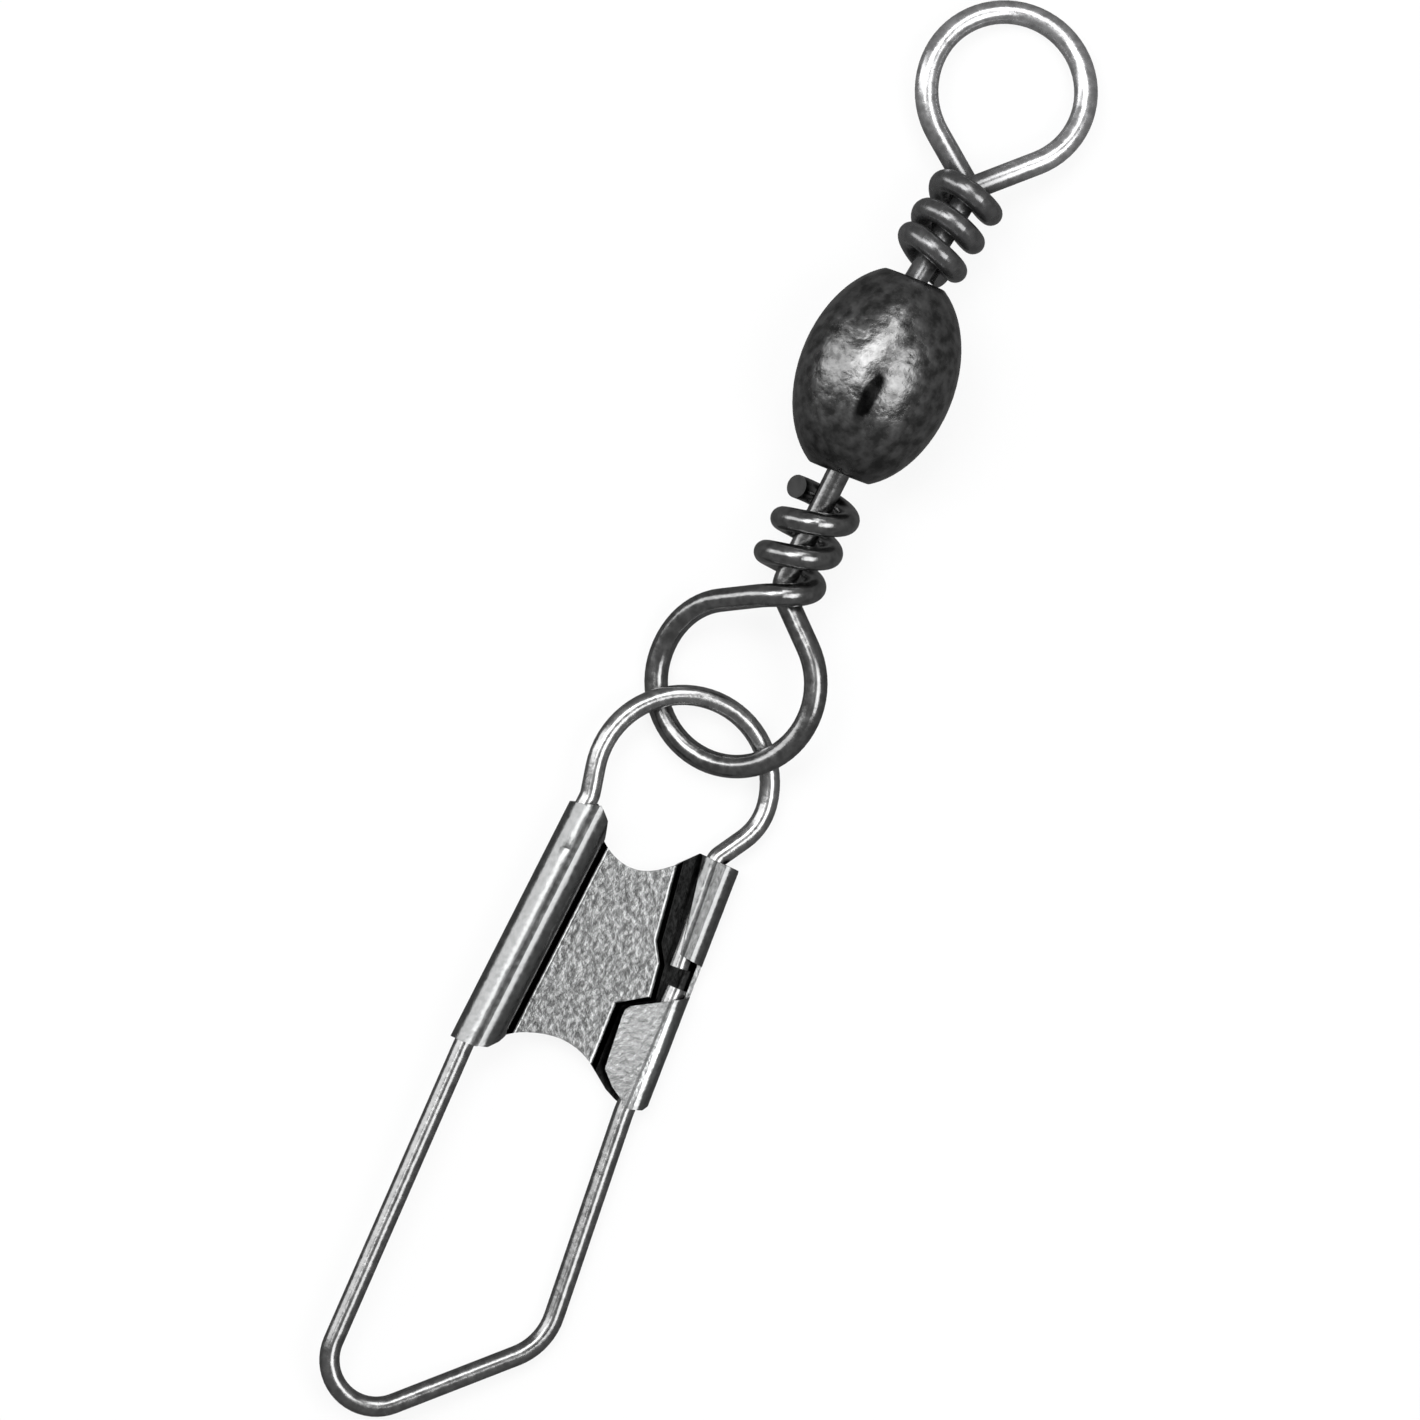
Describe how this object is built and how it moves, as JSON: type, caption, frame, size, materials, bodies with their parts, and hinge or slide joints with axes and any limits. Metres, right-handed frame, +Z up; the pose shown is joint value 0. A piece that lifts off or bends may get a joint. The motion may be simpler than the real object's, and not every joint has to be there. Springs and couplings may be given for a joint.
{
  "type": "snap swivel",
  "caption": "Barrel swivel with a wrapped wire eye at each end and a wire safety snap in a folded sheet keeper.",
  "frame": {"origin": "centre of the bounding box, on the table the swivel lies on", "axes": "+Y along the swivel from the snap to the line eye, +Z up from the table, +X to the right seen from above with the line eye at the top"},
  "size_m": [0.0102, 0.0724, 0.0073],
  "materials": {
    "barrel_black": "satin",
    "gunmetal": "polished",
    "spring_steel": "polished",
    "sheet_steel": "satin"
  },
  "bodies": {
    "barrel": {"barrel": "barrel_black"},
    "line_eye": {"line_eye": "gunmetal"},
    "snap_eye": {"snap_eye": "gunmetal"},
    "snap": {"snap_wire": "spring_steel", "snap_plate": "sheet_steel"}
  },
  "joints": [
    {"name": "line_eye_spin", "type": "hinge", "parent": "barrel", "child": "line_eye", "pos_m": [0.00001, 0.02198, 0.00366], "axis": [0.1256, 0.9668, -0.2226], "continuous": true},
    {"name": "snap_eye_spin", "type": "hinge", "parent": "barrel", "child": "snap_eye", "pos_m": [0.00049, 0.01292, 0.00366], "axis": [-0.0361, -0.9843, -0.1728], "continuous": true},
    {"name": "snap_swing", "type": "hinge", "parent": "snap_eye", "child": "snap", "pos_m": [0.00017, 0.00186, 0.00174], "axis": [0.2648, 0.1573, -0.9514], "range_deg": [-60, 30]}
  ]
}
